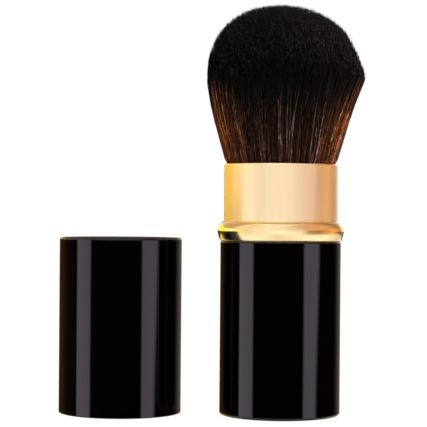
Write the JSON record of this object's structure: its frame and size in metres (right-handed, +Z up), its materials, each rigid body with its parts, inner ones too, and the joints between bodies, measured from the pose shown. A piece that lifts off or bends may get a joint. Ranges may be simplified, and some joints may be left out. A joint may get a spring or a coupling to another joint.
{
  "type": "retractable blush brush",
  "caption": "Twist-up retractable blush brush: domed hair tuft, satin neck and bright collar on a gloss base, its gloss cap stood beside.",
  "frame": {"origin": "centre of the base's flat underside, on the brush's axis", "axes": "+Z up along the brush's axis, +X to the right as seen from the front, with the cap on the left at -X, and +Y away from the viewer"},
  "size_m": [0.0863, 0.0459, 0.1159],
  "materials": {
    "gloss_black": "high-gloss black lacquer on drawn aluminium",
    "satin_gold": "satin anodised pale gold",
    "bright_gold": "polished anodised gold",
    "ferrule_aluminium": "plain gold anodised",
    "natural_plastic": "natural moulded acetal",
    "black_plastic": "black moulded plastic",
    "steel": "zinc-plated steel",
    "rubber": "silicone rubber",
    "resin": "hair root set in resin",
    "thread": "waxed cotton",
    "hair": "soft hair, orange-brown at the root and black at the tips"
  },
  "bodies": {
    "base": {"base_shell": "gloss_black", "base_plug": "natural_plastic", "base_weight": "steel", "fork_tube": "natural_plastic", "brake_ring": "rubber"},
    "neck": {"neck_sleeve": "satin_gold", "collar_ring": "bright_gold", "spiral_tube": "natural_plastic"},
    "brush": {"carrier": "black_plastic", "ferrule": "ferrule_aluminium", "root_plug": "resin", "knot_thread": "thread", "bristles": "hair"},
    "cap": {"cap_shell": "gloss_black", "cap_liner": "natural_plastic"}
  },
  "joints": [
    {"name": "neck_twist", "type": "hinge", "parent": "base", "child": "neck", "pos_m": [0, 0, 0.049], "axis": [0, 0, 1], "range_deg": [0, 360]},
    {"name": "brush_rise", "type": "slide", "parent": "base", "child": "brush", "axis": [0, 0, 1], "range_m": [-0.0401, 0], "deforming": ["bristles"]},
    {"name": "cap_lift", "type": "slide", "parent": "base", "child": "cap", "axis": [0, 0, 1], "range_m": [0, 0.12]}
  ],
  "couplings": [
    {"joint": "brush_rise", "follows": "neck_twist", "m_per_rad": -0.0063662}
  ]
}
